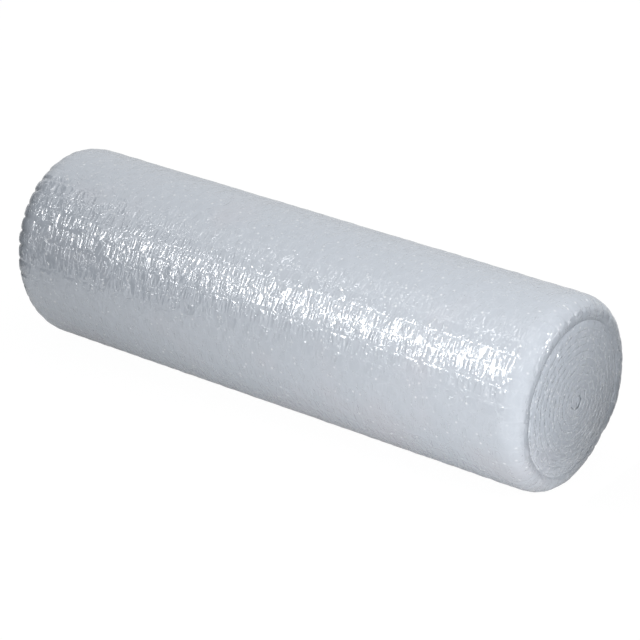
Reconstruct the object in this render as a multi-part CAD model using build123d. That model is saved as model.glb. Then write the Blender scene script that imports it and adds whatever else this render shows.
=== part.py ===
from build123d import *
import os
from math import asin, cos, pi, radians, sin, sqrt, tan

# A sheet of air-bubble film wound on itself into a soft roll, lying on its side.
# X runs along the roll and Z is up. The sheet's flat film is outside, its bubbles face the axis.

# Driving dimensions, in millimetres and degrees
roll_length = 400.0  # width of the sheet, along the roll
roll_diameter = 125.0  # mean diameter of the outermost turn
eye_diameter = 14.0  # across the innermost bend of the sheet
bubble_pitch = 11.5  # between neighbouring bubble centres
bubble_gap = 2.2  # land between neighbouring bubbles
bubble_height = 3.7  # of a bubble pressed between two turns
bubble_draft = 1.0  # how far a bubble's side leans in on its way up
film = 0.6  # flat film with the bubble film welded to it
turn_gap = 0.2  # air between a bubble's top and the next turn in
rim_round = 11.0  # softness of the roll's two rims
flat_width = 24.0  # flat spot that the roll rests on
tail_angle = -45.0  # where the sheet's outer end lies, from +Y up towards +Z

# Sizes that follow from them
turn_pitch = film + bubble_height + turn_gap
row_pitch = bubble_pitch * sqrt(3) / 2  # rows nest, each half a bubble along from the last
eye_radius = eye_diameter / 2
tail_radius = (roll_diameter + turn_pitch) / 2
growth = turn_pitch / (2 * pi)  # of the spiral's radius in each radian
sheet_length = (tail_radius**2 - eye_radius**2) / (2 * growth)
row_count = round(sheet_length / row_pitch)


def wound(length):
    """Radians that this length of sheet winds through, from the eye out."""
    return (sqrt(eye_radius**2 + 2 * growth * length) - eye_radius) / growth


all_turns = wound(row_count * row_pitch)

# The outermost turn passes under the roll once, and the floor presses it flat there.
below = all_turns - radians(270 - tail_angle)
below_radius = eye_radius + growth * below
flat_half_angle = asin(flat_width / 2 / below_radius)
flat = (below - flat_half_angle, below + flat_half_angle)
floor = -below_radius * cos(flat_half_angle)


def on_roll(turn, depth):
    """Point of the section at this angle wound and this depth under the sheet's outside."""
    radius = eye_radius + growth * turn - depth
    angle = radians(tail_angle) + all_turns - turn
    height = max(radius * sin(angle), floor + min(depth, film))
    if depth == 0 and flat[0] <= turn <= flat[1]:
        height = floor
    return (radius * cos(angle), height)


def chain(points):
    """Straight edges from each point to the next."""
    return [Edge.make_line(a, b) for a, b in zip(points, points[1:])]


def outside():
    """The flat film: an arc for each quarter turn, and one straight stretch on the floor."""
    quarter = pi / 2
    bends = [q * quarter for q in range(int(all_turns / quarter) + 1)] + [all_turns]
    stops = sorted([t for t in bends if not flat[0] <= t <= flat[1]] + list(flat))
    edges = []
    for start, end in zip(stops, stops[1:]):
        if start == flat[0]:
            edges += chain([on_roll(start, 0), on_roll(end, 0)])
        else:
            through = (start, (start + end) / 2, end)
            edges.append(Edge.make_three_point_arc(*(on_roll(t, 0) for t in through)))
    return edges


def bubble_row(row):
    """Foot, flat top and foot of one row of bubbles, which run along the roll."""
    foot_in = row * row_pitch + bubble_gap / 2
    foot_out = (row + 1) * row_pitch - bubble_gap / 2
    top_in = wound(foot_in + bubble_draft)
    top_out = wound(foot_out - bubble_draft)
    depth = film + bubble_height
    # A flat top reaches its full depth at its middle, where it meets the next turn in.
    middle = eye_radius + growth * (top_in + top_out) / 2 - depth
    depth -= middle / cos((top_out - top_in) / 2) - middle
    return [
        on_roll(wound(foot_in), film),
        on_roll(top_in, depth),
        on_roll(top_out, depth),
        on_roll(wound(foot_out), film),
    ]


def inside():
    """All the bubble rows, from the eye out, with the land between them."""
    points = [on_roll(0, film)]
    for row in range(row_count):
        points += bubble_row(row)
    return chain(points + [on_roll(all_turns, film)])


def wound_sheet():
    """The section of the whole sheet, carried along the roll."""
    cut_ends = [Edge.make_line(on_roll(t, 0), on_roll(t, film)) for t in (0, all_turns)]
    section = Face(Wire(outside() + inside() + cut_ends))
    return extrude(Plane.YZ.offset(-roll_length / 2) * section, roll_length, dir=(1, 0, 0))


def soft_drum():
    """The drum that the roll fills, each rim eased by two bevels that follow one round.

    Where the roll rests, the floor presses the rims as well, so the flat spot ends straight.
    """
    half = roll_length / 2
    toe = rim_round * 0.4
    ease = rim_round * tan(radians(15))
    rim = [
        (half, tail_radius - rim_round + ease),
        (half - ease, tail_radius - ease),
        (half - rim_round + ease, tail_radius),
    ]
    far_rim = [(-x, y) for x, y in reversed(rim)]
    profile = Polyline((half, 0), *rim, *far_rim, (-half, 0), close=True)
    drum = revolve(make_face(profile), axis=Axis.X)
    sole = [(half - toe, floor), (half, floor + toe), (half, tail_radius)]
    far_sole = [(-x, z) for x, z in reversed(sole)]
    pressed = extrude(Plane.XZ * make_face(Polyline(*sole, *far_sole, close=True)), tail_radius, both=True)
    return drum & pressed


roll = wound_sheet() & soft_drum()
box = roll.bounding_box()
roll = roll.moved(Location((0, -box.center().Y, -floor)))

os.makedirs("parts", exist_ok=True)
export_step(roll, "parts/bubble_film_roll.step")
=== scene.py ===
import math

import bpy
from mathutils import Matrix, Vector


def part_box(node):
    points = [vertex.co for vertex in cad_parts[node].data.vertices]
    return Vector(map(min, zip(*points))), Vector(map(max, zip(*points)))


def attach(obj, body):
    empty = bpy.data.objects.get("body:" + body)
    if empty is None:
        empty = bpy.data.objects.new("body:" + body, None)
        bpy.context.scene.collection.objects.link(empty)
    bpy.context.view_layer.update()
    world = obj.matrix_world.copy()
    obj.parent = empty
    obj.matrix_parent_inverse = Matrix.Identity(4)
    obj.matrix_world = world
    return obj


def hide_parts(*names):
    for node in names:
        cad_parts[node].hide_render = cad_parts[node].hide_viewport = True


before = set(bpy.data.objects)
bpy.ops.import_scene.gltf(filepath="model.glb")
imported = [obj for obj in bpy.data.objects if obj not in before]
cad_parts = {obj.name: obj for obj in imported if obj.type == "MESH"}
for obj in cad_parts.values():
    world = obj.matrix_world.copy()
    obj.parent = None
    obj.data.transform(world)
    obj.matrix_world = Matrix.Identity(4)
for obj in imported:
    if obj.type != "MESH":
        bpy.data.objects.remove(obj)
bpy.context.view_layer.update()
rollNode = "bubble_film_roll"
print("frame loaded:", list(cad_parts))


# one socket of a node tree; arithmetic on it adds Math nodes, make() adds any other node
class Wire:
    def __init__(self, tree, socket=None):
        self.tree = tree
        self.socket = socket

    def make(self, kind, settings=None, sockets=None, out=0):
        node = self.tree.nodes.new(kind)
        for key, value in (settings or {}).items():
            setattr(node, key, value)
        for key, value in (sockets or {}).items():
            if isinstance(value, Wire):
                self.tree.links.new(value.socket, node.inputs[key])
            else:
                node.inputs[key].default_value = value
        return Wire(self.tree, node.outputs[out]) if len(node.outputs) else None

    def pick(self, out):
        return Wire(self.tree, self.socket.node.outputs[out])

    def maths(self, operation, *others):
        terms = dict(enumerate((self, *others)))
        return self.make("ShaderNodeMath", {"operation": operation}, terms)

    def __add__(self, other):
        return self.maths("ADD", other)

    def __radd__(self, other):
        return self.maths("ADD", other)

    def __sub__(self, other):
        return self.maths("SUBTRACT", other)

    def __rsub__(self, other):
        return self.make("ShaderNodeMath", {"operation": "SUBTRACT"}, {0: other, 1: self})

    def __mul__(self, other):
        return self.maths("MULTIPLY", other)

    def __rmul__(self, other):
        return self.maths("MULTIPLY", other)

    def __truediv__(self, other):
        return self.maths("DIVIDE", other)

    def __pow__(self, other):
        return self.maths("POWER", other)

    def __abs__(self):
        return self.maths("ABSOLUTE")

    def atLeast(self, other):
        return self.maths("MAXIMUM", other)

    def atMost(self, other):
        return self.maths("MINIMUM", other)

    def ramp(self, start, end, low=0.0, high=1.0):
        ends = {"From Min": start, "From Max": end, "To Min": low, "To Max": high}
        smooth = {"interpolation_type": "SMOOTHSTEP", "clamp": True}
        return self.make("ShaderNodeMapRange", smooth, {"Value": self, **ends})

    def split(self):
        node = self.make("ShaderNodeSeparateXYZ", None, {0: self})
        return node, node.pick(1), node.pick(2)

    def join(self, x, y, z):
        return self.make("ShaderNodeCombineXYZ", None, {0: x, 1: y, 2: z})


# the wound sheet, in metres and radians; its spiral is fitted to the CAD box
sheet = {
    "turnPitch": 0.0045,
    "eyeRadius": 0.007,
    "tailAngle": math.radians(-45),  # from +Y up towards +Z
    "bubblePitch": 0.0115,
    "bubbleRadius": 0.0047,
}
boxLow, boxHigh = (Vector(corner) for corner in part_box(rollNode))
halfLength = (boxHigh.x - boxLow.x) / 2
growth = sheet["turnPitch"] / (2 * math.pi)
rowPitch = sheet["bubblePitch"] * math.sqrt(3) / 2


def belowTail(angle):
    return growth * ((angle - sheet["tailAngle"]) % (2 * math.pi))


tailRadius = (boxHigh.y - boxLow.y + belowTail(0) + belowTail(math.pi)) / 2
axisY = boxLow.y + tailRadius - belowTail(math.pi)
axisZ = boxHigh.z - tailRadius + belowTail(math.pi / 2)
allTurns = (tailRadius - sheet["eyeRadius"]) / growth
sheetLength = (tailRadius**2 - sheet["eyeRadius"] ** 2) / (2 * growth)
rowCount = round(sheetLength / rowPitch)
print(f"sheet: {sheetLength:.3f} m in {allTurns / 2 / math.pi:.1f} turns, {rowCount} bubble rows")


# distance from the nearest bubble centre, rows being staggered by half a bubble
def bubbleDistance(along, across):
    def lattice(shiftAlong, shiftAcross):
        down = (((along - shiftAlong) / (2 * rowPitch)).maths("FRACT") - 0.5) * (2 * rowPitch)
        side = (((across - shiftAcross) / sheet["bubblePitch"]).maths("FRACT") - 0.5) * sheet["bubblePitch"]
        return (down**2 + side**2).maths("SQRT")

    half = sheet["bubblePitch"] / 2
    return lattice(-rowPitch / 2, half).atMost(lattice(rowPitch / 2, 0.0))


# the bubbles along the sheet's edges are cut open, so each turn folds in over the end:
# the outermost one makes the roll's soft shoulder, the others short flaps
fold = {
    "shoulder": {"length": 0.0190, "reach": 0.0135, "drop": 0.0145, "angle": math.radians(116)},
    "flap": {"length": 0.0070, "reach": 0.00015, "drop": 0.0050, "angle": math.radians(150)},
    "eyeDrop": 0.0012,  # the first turn's flap closes the eye
    "settle": 0.050,  # stretch over which the rows of bubbles give way to the fold
    "dish": 0.0003,  # how far the flaps lie behind the shoulder's crest
    "dome": 0.0030,  # and how far they stand out in the middle
    "handOver": 0.06,  # turns over which the shoulder gives way to the flaps
    "slant": 0.0060, "slip": -0.0012,  # the far end leans out at its top
    "leanFrom": 0.06, "leanTo": 0.01,  # distances from that end between which it starts to lean
    "tail": 0.0032, "tailTurns": 0.06,  # the sheet's last rows lie down on the turn below
}
floorGap = {"film": 0.0001, "bubbles": 0.0004, "drum": 0.002}  # lowest heights, over the flat spot


# where a length of the sheet lies on the roll: radius, angle and turns from the outside
def onSpiral(along):
    radius = (along * (2 * growth) + sheet["eyeRadius"] ** 2).maths("SQRT")
    turn = (radius - sheet["eyeRadius"]) / growth
    angle = sheet["tailAngle"] + allTurns - turn
    turnsOut = (allTurns - turn) / (2 * math.pi)
    return radius - turnsOut.ramp(fold["tailTurns"], 0.0, 0.0, fold["tail"]), angle, turnsOut


# how far an end's flaps stand out at a radius
def endDome(radius):
    rim = tailRadius - fold["shoulder"]["drop"]
    return (1 - (radius / rim) ** 2).atLeast(0.0) * fold["dome"]


def farLean(across, angle):
    share = across.ramp(fold["leanFrom"] - halfLength, fold["leanTo"] - halfLength)
    return share * (fold["slip"] + fold["slant"] * angle.maths("SINE"))


# place along the roll, drop towards the axis and how far a point is round its fold (0 to 1)
def foldedEdge(across, angle, turnsOut):
    outer = turnsOut.ramp(1.0, 1.0 + fold["handOver"], 1.0, 0.0)
    shoulder, flap = fold["shoulder"], fold["flap"]
    length, reach, drop, whole = (flap[key] + (shoulder[key] - flap[key]) * outer
                                  for key in ("length", "reach", "drop", "angle"))
    side = abs(across)
    bend = ((side - (halfLength - length)) / length).atLeast(0.0).atMost(1.0)
    settled = side.ramp(halfLength - length - fold["settle"], halfLength - length) * (length - reach)
    around = bend * whole
    eyeTurn = allTurns / (2 * math.pi)
    drop = drop + turnsOut.ramp(eyeTurn - 1, eyeTurn, 0.0, fold["eyeDrop"])
    drop = drop * (1 - around.maths("COSINE")) / (1 - whole.maths("COSINE"))
    # the flaps stay under the shoulder's curve
    depth = 1 - ((turnsOut - 1) * sheet["turnPitch"] + drop) / shoulder["drop"]
    curve = 1 - (1 - depth.atLeast(0.0).atMost(1.0) ** 2).maths("SQRT")
    tucked = curve * shoulder["reach"] + fold["dish"]
    domed = endDome(tailRadius - turnsOut * sheet["turnPitch"] - drop)
    place = side.atMost(halfLength - length) + settled + reach * around.maths("SINE")
    place = place + (domed - tucked) * (1 - outer)
    return across.maths("SIGN") * place - farLean(across, angle), drop, bend


def rollPoint(across, radius, angle, lowest):
    y = axisY + radius * angle.maths("COSINE")
    z = (axisZ + radius * angle.maths("SINE")).atLeast(lowest)
    return across.join(across, y, z)


# runs a node tree on an empty object, then keeps the result as a plain mesh object
def grow(name, build, sizes, material, thickness=0.0):
    tree = bpy.data.node_groups.new(name + "Tree", "GeometryNodeTree")
    tree.interface.new_socket("Geometry", in_out="OUTPUT", socket_type="NodeSocketGeometry")
    kinds = {int: "NodeSocketInt", float: "NodeSocketFloat"}
    sockets = {key: tree.interface.new_socket(key, in_out="INPUT", socket_type=kinds[type(value)])
               for key, value in sizes.items()}
    start = Wire(tree).make("NodeGroupInput")
    shape = build({key: start.pick(key) for key in sizes})
    shape = shape.make("GeometryNodeRealizeInstances", None, {0: shape})
    shape = shape.make("GeometryNodeSetMaterial", None, {"Geometry": shape, "Material": material})
    shape.make("NodeGroupOutput", None, {"Geometry": shape})

    maker = bpy.data.objects.new(name + "Maker", bpy.data.meshes.new(name + "Maker"))
    bpy.context.scene.collection.objects.link(maker)
    modifier = maker.modifiers.new(name, "NODES")
    modifier.node_group = tree
    for key, value in sizes.items():
        modifier[sockets[key].identifier] = value
    if thickness:
        shell = maker.modifiers.new("thickness", "SOLIDIFY")
        shell.thickness = thickness
        shell.offset = -1.0
    graph = bpy.context.evaluated_depsgraph_get()
    mesh = bpy.data.meshes.new_from_object(maker.evaluated_get(graph), depsgraph=graph)
    bpy.data.objects.remove(maker)
    piece = bpy.data.objects.new(name, mesh)
    bpy.context.scene.collection.objects.link(piece)
    mesh.name = name
    triangles = sum(len(face.vertices) - 2 for face in mesh.polygons)
    print(f"{name}: {triangles} triangles")
    return piece


# which bubble a point of the sheet belongs to: offsets from its centre and three random numbers
def bubbleCell(along, across, seed):
    row = (along / rowPitch).maths("FLOOR")
    fromRow = along - (row + 0.5) * rowPitch
    place = across / sheet["bubblePitch"] - row.maths("FLOORED_MODULO", 2.0) * 0.5
    column = place.maths("ROUND")
    fromColumn = (place - column) * sheet["bubblePitch"]
    chance = along.make("ShaderNodeTexWhiteNoise", None, {"Vector": row.join(row, column, seed)}, "Color")
    return fromRow, fromColumn, chance.split()


# how the film lies over its bubbles and puckers in its folds
crumple = {
    "leastPuff": 0.45, "morePuff": 0.9,  # a bubble's height, as shares of the relief
    "dents": 55.0,  # soft dents a metre
    "foldWander": 0.25,  # share by which the dents shift a fold
    "leastPleat": 0.4,  # share of its depth that every pleat has
    "pleatFade": 1.3,  # how far round a fold its pleats would fade out
    "pleatPull": 0.8,  # how much a pleat draws the edge back, for its depth
}


# a stretch of the flat film, wound on the spiral and drawn over its bubbles
def woundFilm(size):
    grid = size["Start"].make("GeometryNodeMeshGrid", None, {
        "Size X": 1.0, "Size Y": 1.0, "Vertices X": size["Steps along"], "Vertices Y": size["Steps across"]})
    u, v, _ = grid.make("GeometryNodeInputPosition").split()
    along = size["Start"] + (u + 0.5) * (size["End"] - size["Start"])
    across = size["Left"] + (v + 0.5) * (size["Right"] - size["Left"])
    across = across.atLeast(-halfLength).atMost(halfLength)
    radius, angle, turnsOut = onSpiral(along)
    film = grid.make("GeometryNodeStoreNamedAttribute", {"data_type": "FLOAT_VECTOR", "domain": "POINT"}, {
        "Geometry": grid, "Name": "sheet", "Value": along.join(along, across, turnsOut)})

    # each row of bubbles is one facet, and each bubble bulges in it between two creases
    fromRow, fromColumn, (puff, roll, pitch) = bubbleCell(along, across, size["Seed"])
    facet = (fromRow**2 - (rowPitch / 2) ** 2) / (2 * radius)
    crest = 1 - (fromColumn * 2 / sheet["bubblePitch"]) ** 2
    window = 1 - abs(fromRow * 2 / rowPitch) ** 4
    lean = (roll - 0.5) * fromColumn + (pitch - 0.5) * fromRow
    puffed = size["Relief"] * (crumple["leastPuff"] + crumple["morePuff"] * puff)
    bulge = crest * window * (puffed + lean * size["Lean"])
    place = along.join(along * crumple["dents"], across * crumple["dents"], size["Seed"])
    wander = along.make("ShaderNodeTexNoise", None, {"Vector": place, "Scale": 1.0, "Detail": 1.0}) - 0.5
    edge, drop, bend = foldedEdge(across, angle, turnsOut)
    end = across.maths("SIGN")
    pleat = end.ramp(-1.0, 1.0, 1.0, size["Near pucker"]) * (crumple["leastPleat"] + puff)
    pucker = (1 - window) * bend * (crumple["pleatFade"] - bend) * pleat * size["Pucker"]
    drop = drop * (1 + wander * crumple["foldWander"]) + pucker
    edge = edge - end * pucker * crumple["pleatPull"]
    raised = radius + facet + bulge + size["Proud"] + wander * size["Wander"] - drop
    place = rollPoint(edge, raised, angle, floorGap["film"])
    film = film.make("GeometryNodeSetPosition", None, {"Geometry": film, "Position": place})
    film = film.make("GeometryNodeFlipFaces", None, {"Mesh": film})
    return film.make("GeometryNodeSetShadeSmooth", None, {"Geometry": film})


# one bubble: a cone of unit size with a flat top, swollen into a dome, and the sizes it comes in
bubbleDome = {"sides": 12, "rings": 3, "top": 0.5, "smallest": 0.86, "largest": 1.04}


# bubbles on the film's inner side, one small dome instanced over the staggered rows
def bubbleField(size):
    top = bubbleDome["top"]
    dome = size["Height"].make("GeometryNodeMeshCone", None, {
        "Vertices": bubbleDome["sides"], "Side Segments": bubbleDome["rings"], "Fill Segments": 1,
        "Radius Top": top, "Radius Bottom": 1.0, "Depth": 1.0})
    x, y, z = dome.make("GeometryNodeInputPosition").split()
    swell = (1 - (1 - top**2) * z**3).maths("SQRT") / (1 - (1 - top) * z)
    shaped = x.join(x * swell * sheet["bubbleRadius"], y * swell * sheet["bubbleRadius"], z * size["Height"])
    dome = dome.make("GeometryNodeSetPosition", None, {"Geometry": dome, "Position": shaped})
    dome = dome.make("GeometryNodeSetShadeSmooth", None, {"Geometry": dome})

    rows, columns = size["Rows"], size["Columns"]
    grid = rows.make("GeometryNodeMeshGrid", None, {
        "Size X": rows - 1, "Size Y": columns - 1, "Vertices X": rows, "Vertices Y": columns})
    index = grid.make("GeometryNodeInputIndex")
    row = (index / columns).maths("FLOOR") + size["First row"]
    column = index.maths("FLOORED_MODULO", columns) + size["First column"]
    odd = row.maths("FLOORED_MODULO", 2.0)
    along = (row + 0.5) * rowPitch
    across = (column + odd * 0.5) * sheet["bubblePitch"]
    radius, angle, turnsOut = onSpiral(along)
    place, _, _ = foldedEdge(across, angle, turnsOut)
    base = rollPoint(place, radius - size["Film"], angle, floorGap["bubbles"])
    grid = grid.make("GeometryNodeSetPosition", None, {"Geometry": grid, "Position": base})
    inwards = angle.join(0.0, angle.maths("COSINE") * -1, angle.maths("SINE") * -1)
    turn = inwards.make("FunctionNodeAlignRotationToVector", {"axis": "Z"}, {"Vector": inwards})
    slack = grid.make("FunctionNodeRandomValue", {"data_type": "FLOAT"}, {
        2: bubbleDome["smallest"], 3: bubbleDome["largest"], "Seed": size["Seed"]}, 1)
    unfolded = abs(across).maths("LESS_THAN", halfLength - fold["shoulder"]["length"])
    bubbles = grid.make("GeometryNodeInstanceOnPoints", None, {
        "Points": grid, "Instance": dome, "Rotation": turn,
        "Selection": unfolded, "Scale": slack.join(slack, slack, slack)})
    bubbles = bubbles.make("GeometryNodeRealizeInstances", None, {0: bubbles})
    x, y, z = bubbles.make("GeometryNodeInputPosition").split()
    return bubbles.make("GeometryNodeSetPosition", None, {
        "Geometry": bubbles, "Position": x.join(x, y, z.atLeast(floorGap["bubbles"]))})


drumMargin = 0.001  # tells the unit drum's rim and ends from what lies inside them


# the turns further in, closed in one drum that follows the second turn;
# its ends lie between the film's edges
def innerTurns(size):
    drum = size["Depth"].make("GeometryNodeMeshCylinder", {"fill_type": "TRIANGLE_FAN"}, {
        "Vertices": size["Steps round"], "Side Segments": size["Steps across"],
        "Fill Segments": size["Steps in"], "Radius": 1.0, "Depth": 1.0})
    x, y, z = drum.make("GeometryNodeInputPosition").split()
    angle = y.maths("ARCTAN2", x)
    spread = (x**2 + y**2).maths("SQRT")
    across = z * 2 * (halfLength - size["Depth"])
    wound = ((angle - sheet["tailAngle"]) / (2 * math.pi)).maths("FLOORED_MODULO", 1.0)
    turnsOut = wound + size["Turns in"]
    radius = tailRadius - sheet["turnPitch"] * turnsOut
    along = (radius**2 - sheet["eyeRadius"] ** 2) / (2 * growth)
    drum = drum.make("GeometryNodeStoreNamedAttribute", {"data_type": "FLOAT_VECTOR", "domain": "POINT"}, {
        "Geometry": drum, "Name": "sheet", "Value": along.join(along, across, turnsOut)})

    fromRow, fromColumn, (puff, _, _) = bubbleCell(along, across, size["Seed"])
    crest = (1 - (fromColumn**2 + fromRow**2) / sheet["bubbleRadius"] ** 2).atLeast(0.0)
    corner = abs(across).ramp(halfLength - fold["shoulder"]["reach"], halfLength - size["Depth"]) ** 2
    inside = spread * (radius + crest * size["Relief"] * puff - corner * size["Corner"])
    between = ((inside - radius) / sheet["turnPitch"] * (2 * math.pi)).maths("COSINE")
    withinRim = spread.maths("LESS_THAN", 1.0 - drumMargin)
    onEnd = abs(z).maths("GREATER_THAN", 0.5 - drumMargin)
    swell = (1 - between) * size["Swell"] * withinRim
    eyeFill = inside.ramp(size["Eye from"], size["Eye to"], 0.0, size["Depth"] * size["Eye share"])
    filled = endDome(inside) + eyeFill
    outwards = across.maths("SIGN") * (swell + filled * onEnd)
    place = rollPoint(across + outwards - farLean(across, angle), inside, angle, floorGap["drum"])
    drum = drum.make("GeometryNodeSetPosition", None, {"Geometry": drum, "Position": place})
    return drum.make("GeometryNodeSetShadeSmooth", None, {"Geometry": drum})


def newMaterial(name):
    material = bpy.data.materials.new(name)
    material.use_nodes = True
    material.node_tree.nodes.clear()
    return material, Wire(material.node_tree)


def finishMaterial(start, shader):
    start.make("ShaderNodeOutputMaterial", None, {"Surface": shader})


# clear film that turns milky where it is creased or welded, with painted glints standing in for sparkles of
# light
filmLook = {
    "clear": (0.50, 0.545, 0.61, 1),
    "milky": (0.62, 0.655, 0.71, 1),
    "warm": (0.60, 0.585, 0.63, 1),
    # the painted glint colour: white spots that stand in for sparkles of light
    "paintedGlint": (0.96, 0.97, 0.98, 1),
    "alpha": 0.74, "milkAlpha": 0.2,
    "bodyRoughness": 0.5, "roughness": 0.05, "cloudRoughness": 0.06,
    "ior": 2.3,
    "crease": 0.30, "hair": 0.26, "weld": 0.02,  # heights in millimetres
    "weldHalf": 0.55, "landStart": 0.3, "landEnd": 1.2,  # millimetres about a bubble's edge
    "paintedGlintCells": 300.0, "share": 0.10,  # cells a metre, and the share of them that hold a painted glint
    "paintedGlintRadius": 0.30,  # in cells
    "clouds": 14.0, "warmFrom": 0.52, "warmTo": 0.75, "warmMost": 0.5,
}
milkiness = {"film": 0.40, "weld": 0.05, "land": 0.04, "crease": 0.04, "hair": 0.15}
ridgeKinds = {
    "crease": {"perAlong": 80.0, "perAcross": 300.0, "twist": 0.0, "narrow": 5.0},
    "patches": {"perAlong": 120.0, "perAcross": 120.0, "twist": 0.0, "narrow": 7.0},
    "hair": {"perAlong": 330.0, "perAcross": 380.0, "twist": 0.8, "narrow": 11.0},
}
ridgeSlices = {"row": 3.7, "patches": 3.0, "hair": 7.0, "turn": 3.0}  # depths in the ridges' noise
millimetre = 0.001


def filmMaterial(name, look):
    material, start = newMaterial(name)
    where = start.make("ShaderNodeAttribute", {"attribute_name": "sheet"}, None, "Vector")
    along, across, turnsOut = where.split()
    distance = bubbleDistance(along, across) * (1 / millimetre)
    edge = sheet["bubbleRadius"] / millimetre
    onBubble = distance.ramp(edge + look["landStart"], edge - look["landEnd"])
    weld = 1 - (abs(distance - edge) / look["weldHalf"]).atMost(1.0)

    # thin ridges in the film: creases across each row of bubbles, and short hairs every way
    def ridges(depth, perAlong, perAcross, twist, narrow):
        place = along.join(along * perAlong, across * perAcross, depth)
        field = start.make("ShaderNodeTexNoise", None, {
            "Vector": place, "Scale": 1.0, "Detail": 0.5, "Roughness": 0.55, "Distortion": twist})
        return (1 - abs(field - 0.5) * narrow).atLeast(0.0)

    row = (along / rowPitch).maths("FLOOR")
    inRow = 1 - abs((along / rowPitch - row - 0.5) * 2) ** 4
    crease = ridges(row * ridgeSlices["row"], **ridgeKinds["crease"]) ** 2 * inRow
    patches = ridges(ridgeSlices["patches"], **ridgeKinds["patches"])
    hairSlice = ridgeSlices["hair"] + turnsOut * ridgeSlices["turn"]
    hair = ridges(hairSlice, **ridgeKinds["hair"]) * patches

    # painted glints: small white spots in the film's colour that stand in for sparkles of light
    glintSpots = along.join(along * look["paintedGlintCells"], across * look["paintedGlintCells"], 0.0)
    cell = start.make("ShaderNodeTexVoronoi", {"voronoi_dimensions": "2D"}, {
        "Vector": glintSpots, "Scale": 1.0}, "Distance")
    bright, _, chosen = cell.pick("Color").split()
    held = chosen.maths("LESS_THAN", look["share"])
    paintedGlint = (1 - cell / look["paintedGlintRadius"]).atLeast(0.0) * bright * held
    cloud = start.make("ShaderNodeTexCoord", None, None, "Object")
    cloud = start.make("ShaderNodeTexNoise", None, {
        "Vector": cloud, "Scale": look["clouds"], "Detail": 2.0})

    milk = milkiness["film"] + weld * milkiness["weld"] + (1 - onBubble) * milkiness["land"]
    milk = milk + crease * milkiness["crease"] + hair * milkiness["hair"]
    milk = milk.atLeast(0.0).atMost(1.0)
    warmth = cloud.ramp(look["warmFrom"], look["warmTo"], 0.0, look["warmMost"])
    colour = start.make("ShaderNodeMix", {"data_type": "RGBA"}, {
        "Factor": milk, 6: look["clear"], 7: look["milky"]}, 2)
    colour = start.make("ShaderNodeMix", {"data_type": "RGBA"}, {
        "Factor": warmth, 6: colour, 7: look["warm"]}, 2)
    # mix in the painted glints, white spots standing in for sparkles of light
    colour = start.make("ShaderNodeMix", {"data_type": "RGBA"}, {
        "Factor": paintedGlint, 6: colour, 7: look["paintedGlint"]}, 2)
    height = crease * look["crease"] + hair * look["hair"] - weld * look["weld"]
    bump = start.make("ShaderNodeBump", None, {"Strength": 1.0, "Distance": millimetre, "Height": height})
    body = start.make("ShaderNodeBsdfPrincipled", None, {
        "Base Color": colour, "Roughness": look["bodyRoughness"],
        "Alpha": look["alpha"] + milk * look["milkAlpha"], "Specular IOR Level": 0.0})
    gloss = start.make("ShaderNodeBsdfGlossy", None, {
        "Color": (1, 1, 1, 1), "Roughness": look["roughness"] + cloud * look["cloudRoughness"],
        "Normal": bump})
    sheen = start.make("ShaderNodeFresnel", None, {"IOR": look["ior"], "Normal": bump})
    shader = start.make("ShaderNodeMixShader", None, {0: sheen, 1: body, 2: gloss})
    finishMaterial(start, shader)
    return material


# bubble walls seen through the film
bubbleLook = {
    "low": (0.53, 0.57, 0.63, 1), "high": (0.62, 0.655, 0.71, 1),
    "alpha": 0.35, "patchAlpha": 0.2, "roughness": 0.12, "dimpleRoughness": 0.1,
    "dimples": 420.0, "dimpleDepth": 0.0002, "patches": 60.0, "lowTo": 0.3, "highFrom": 0.7,
    "specular": 0.8, "coat": 0.6, "coatRoughness": 0.1,
}


def bubbleMaterial(name, look):
    material, start = newMaterial(name)
    place = start.make("ShaderNodeTexCoord", None, None, "Object")
    dimple = start.make("ShaderNodeTexNoise", None, {
        "Vector": place, "Scale": look["dimples"], "Detail": 2.0})
    patch = start.make("ShaderNodeTexNoise", None, {
        "Vector": place, "Scale": look["patches"], "Detail": 1.0})
    colour = start.make("ShaderNodeMix", {"data_type": "RGBA"}, {
        "Factor": patch.ramp(look["lowTo"], look["highFrom"]), 6: look["low"], 7: look["high"]}, 2)
    bump = start.make("ShaderNodeBump", None, {
        "Strength": 1.0, "Distance": look["dimpleDepth"], "Height": dimple})
    shader = start.make("ShaderNodeBsdfPrincipled", None, {
        "Base Color": colour, "Roughness": look["roughness"] + dimple * look["dimpleRoughness"],
        "Alpha": look["alpha"] + patch * look["patchAlpha"], "Normal": bump,
        "Specular IOR Level": look["specular"],
        "Coat Weight": look["coat"], "Coat Roughness": look["coatRoughness"]})
    finishMaterial(start, shader)
    return material


outerFilmFinish = filmMaterial("outerFilmFinish", filmLook)
innerFilmFinish = filmMaterial("innerFilmFinish", {**filmLook, "alpha": 1.0, "roughness": 0.25})
# the wound edges get painted glints on half of their cells
edgeFilmFinish = filmMaterial("edgeFilmFinish", {**filmLook, "alpha": 0.85, "share": 0.5})
bubbleFinish = bubbleMaterial("bubbleFinish", bubbleLook)
print("materials ready")

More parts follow.
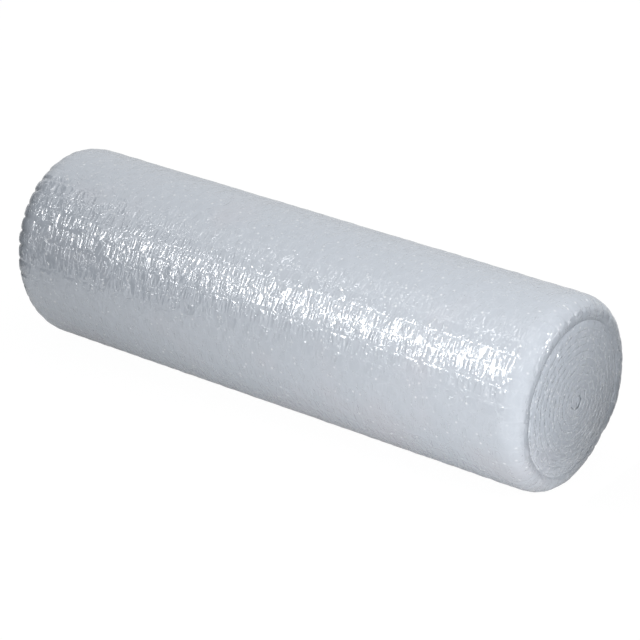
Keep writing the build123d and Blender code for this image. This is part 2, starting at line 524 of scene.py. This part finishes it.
# the outermost turn, and a little of the one under its tail;
# its points fall on the bubbles' crests and creases
outerTurn = {
    "Rows": 42, "Steps a row": 8, "Steps a bubble": 4, "Relief": 0.0003, "Lean": 0.04, "Wander": 0.0002,
    "Pucker": 0.0022, "Near pucker": 0.3, "Proud": 0.0004, "Seed": 3.0, "Thickness": 0.0002,
}
step = sheet["bubblePitch"] / outerTurn["Steps a bubble"]
sideSteps = math.ceil(halfLength / step)
outerStart = (rowCount - outerTurn["Rows"]) * rowPitch
outerFilm = grow("outer_film", woundFilm, {
    "Start": outerStart, "End": rowCount * rowPitch, "Left": -sideSteps * step, "Right": sideSteps * step,
    "Steps along": outerTurn["Rows"] * outerTurn["Steps a row"] + 1, "Steps across": 2 * sideSteps + 1,
    **{key: outerTurn[key] for key in (
        "Relief", "Lean", "Wander", "Pucker", "Near pucker", "Proud", "Seed")},
}, outerFilmFinish, outerTurn["Thickness"])

outerRows = {
    "Rows": outerTurn["Rows"], "First row": rowCount - outerTurn["Rows"],
    "Columns": 36, "First column": -18,
    "Height": 0.0036, "Film": 0.0003, "Seed": 11,
}
outerBubbles = grow("outer_bubbles", bubbleField, outerRows, bubbleFinish)

heart = {
    "Steps round": 220, "Steps across": 150, "Steps in": 78, "Turns in": 1.04, "Depth": 0.0022,
    "Corner": 0.0060, "Relief": 0.0004, "Swell": 0.0006, "Seed": 5.0,
    "Eye from": 0.006, "Eye to": 0.001, "Eye share": 0.4,
}
innerDrum = grow("inner_turns", innerTurns, heart, innerFilmFinish)

# the wound edges at both ends, turn upon turn down to the eye
woundEdge = {
    "Start": 0.0, "End": outerStart, "Steps along": 1750, "Steps across": 11, "Relief": 0.0002, "Lean": 0.06,
    "Wander": 0.0007, "Pucker": 0.0004, "Near pucker": 1.0, "Proud": 0.0,
}
edgeFilm = {"depth": 0.010, "thickness": 0.0003, "seed": 20.0}
pieces = [outerFilm, outerBubbles, innerDrum]
for end, side in (("near", 1), ("far", -1)):
    left, right = sorted((side * halfLength, side * (halfLength - edgeFilm["depth"])))
    film = {**woundEdge, "Left": left, "Right": right, "Seed": edgeFilm["seed"] + side}
    pieces.append(grow(end + "_edges", woundFilm, film, edgeFilmFinish, edgeFilm["thickness"]))

for piece in pieces:
    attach(piece, "root")
    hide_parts(rollNode)

# floor, lights and camera
stage = {
    "floorSide": 24.0, "floor": (0.68, 0.69, 0.70, 1), "floorPale": (0.72, 0.72, 0.72, 1), "grain": 3.0,
    "lift": 0.95, "white": 1.03,  # how white the floor looks to the camera
    "mirrored": 0.25,  # share of that white in the film's gloss
    "sky": 0.75, "skyTint": (0.96, 0.98, 1.0, 1),
    "nearFall": 0.40, "nearSide": (0.85, 0.5),  # the sky is darker beyond the near end
}


# rays that show the white background, to the camera and in part in the film's gloss
def seenRay(start):
    path = start.make("ShaderNodeLightPath", None, None, "Is Camera Ray")
    mirrored = path.pick("Is Glossy Ray").atLeast(path.pick("Is Transmission Ray"))
    return path.atLeast(mirrored * stage["mirrored"])


def floorMaterial():
    material, start = newMaterial("floorPaper")
    place = start.make("ShaderNodeTexCoord", None, None, "Object")
    grain = start.make("ShaderNodeTexNoise", None, {"Vector": place, "Scale": stage["grain"]})
    colour = start.make("ShaderNodeMix", {"data_type": "RGBA"}, {
        "Factor": grain, 6: stage["floor"], 7: stage["floorPale"]}, 2)
    paper = start.make("ShaderNodeBsdfDiffuse", None, {"Color": colour})
    white = start.make("ShaderNodeEmission", None, {"Color": (1, 1, 1, 1), "Strength": stage["white"]})
    finishMaterial(start, start.make("ShaderNodeMixShader", None, {
        0: seenRay(start) * stage["lift"], 1: paper, 2: white}))
    return material


bpy.ops.mesh.primitive_plane_add(size=stage["floorSide"])
floor = bpy.context.object
floor.name = "floor"
floor.data.materials.append(floorMaterial())

# dark cards by both ends, unseen by the camera, keep some of the light off the roll
cards = {
    "farFlag": {"x": -0.33, "y": -0.22, "width": 0.44, "height": 0.30, "lean": 0.0},
    "nearFlag": {"x": 0.28, "y": 0.18, "width": 0.40, "height": 0.18, "lean": math.radians(45)},
}
cardShade = (0.03, 0.03, 0.03, 1)
cardGap = 0.002  # over the floor
cardPaint, start = newMaterial("cardPaint")
finishMaterial(start, start.make("ShaderNodeBsdfDiffuse", None, {"Color": cardShade}))
for name, size in cards.items():
    bpy.ops.mesh.primitive_plane_add(
        size=1.0, rotation=(0, math.pi / 2 + size["lean"], 0),
        location=(size["x"], size["y"], size["height"] / 2 * math.cos(size["lean"]) + cardGap))
    card = bpy.context.object
    card.name = name
    card.scale = (size["height"], size["width"], 1.0)
    card.visible_camera = False
    card.data.materials.append(cardPaint)

world = bpy.data.worlds.new("studio")
bpy.context.scene.world = world
world.use_nodes = True
world.node_tree.nodes.clear()
start = Wire(world.node_tree)
x, y, _ = start.make("ShaderNodeTexCoord", None, None, "Generated").split()
beyondNear = (x * stage["nearSide"][0] + y * stage["nearSide"][1]).atLeast(0.0)
glow = stage["sky"] - stage["nearFall"] * beyondNear
dim = start.make("ShaderNodeBackground", None, {"Color": stage["skyTint"], "Strength": glow})
white = start.make("ShaderNodeBackground", None, {"Color": (1, 1, 1, 1), "Strength": 1.0})
sky = start.make("ShaderNodeMixShader", None, {0: seenRay(start), 1: dim, 2: white})
start.make("ShaderNodeOutputWorld", None, {"Surface": sky})

# area lamps: which way from the roll's middle and how far they stand, size and watts;
# the first group lights gloss only, the second everything but gloss
middle = Vector((0, axisY, axisZ))
glossLamps = {
    "keyBox": {"towards": (-0.37, -0.71, 0.58), "distance": 1.3, "size": (0.27, 0.60), "watts": 4.5},
    "sparkBox": {"towards": (0.93, 0.20, 0.30), "distance": 1.2, "size": (0.12, 0.12), "watts": 1.6},
    "upperStrip": {"towards": (-0.25, -0.18, 0.95), "distance": 1.2, "size": (0.12, 0.6), "watts": 0.55},
    "outerStrip": {"towards": (-0.83, -0.12, 0.55), "distance": 1.2, "size": (0.10, 0.5), "watts": 0.10},
    "lowerStrip": {"towards": (-0.22, -0.96, 0.15), "distance": 1.2, "size": (0.12, 0.35), "watts": 0.2},
}
fillLamps = {
    "topBox": {"towards": (0.04, 0.14, 0.95), "distance": 0.9, "size": (0.7, 0.5), "watts": 2.3},
    "nearCard": {"towards": (0.50, -0.86, 0.10), "distance": 0.42, "size": (0.25, 0.2), "watts": 0.28},
    "endCard": {"towards": (0.90, -0.24, 0.44), "distance": 0.85, "size": (0.2, 0.2), "watts": 2.40},
    "sideCard": {"towards": (0.75, -0.64, 0.15), "distance": 0.8, "size": (0.5, 0.3), "watts": 0.40},
}
for name, lamp in {**glossLamps, **fillLamps}.items():
    light = bpy.data.lights.new(name, "AREA")
    light.shape = "RECTANGLE"
    light.size, light.size_y = lamp["size"]
    light.energy = lamp["watts"]
    holder = bpy.data.objects.new(name, light)
    direction = Vector(lamp["towards"]).normalized()
    holder.location = middle + direction * lamp["distance"]
    holder.rotation_euler = direction.to_track_quat("Z", "Y").to_euler()
    holder.visible_diffuse = name in fillLamps
    holder.visible_glossy = name in glossLamps
    bpy.context.scene.collection.objects.link(holder)

# the photograph's viewing angle; the roll's middle lies a little left of and above the picture's
shot = {
    "azimuth": math.radians(36.66), "elevation": math.radians(25.89), "distance": 1.8282,
    "right": -0.00667, "down": -0.00511, "lens": 160.3, "sensor": 36.0, "clipEnd": 60.0,
}
sway = sheet["turnPitch"] / math.pi  # the outermost turn's own middle, off the spiral's axis
swayAngle = sheet["tailAngle"] + math.pi / 2
rollMiddle = middle + sway * Vector((0, math.cos(swayAngle), math.sin(swayAngle)))
toRight = Vector((math.cos(shot["azimuth"]), math.sin(shot["azimuth"]), 0))
ahead = Vector((-math.sin(shot["azimuth"]) * math.cos(shot["elevation"]),
                math.cos(shot["azimuth"]) * math.cos(shot["elevation"]), -math.sin(shot["elevation"])))
upwards = toRight.cross(ahead)
camera = bpy.data.objects.new("camera", bpy.data.cameras.new("camera"))
camera.data.lens = shot["lens"]
camera.data.sensor_width = shot["sensor"]
camera.data.clip_end = shot["clipEnd"]
place = rollMiddle - toRight * shot["right"] + upwards * shot["down"] - ahead * shot["distance"]
turn = Matrix((toRight, upwards, -ahead)).transposed().to_4x4()
camera.matrix_world = Matrix.Translation(place) @ turn
bpy.context.scene.collection.objects.link(camera)
bpy.context.scene.camera = camera
bpy.context.scene.view_settings.view_transform = "Standard"
print("stage ready")
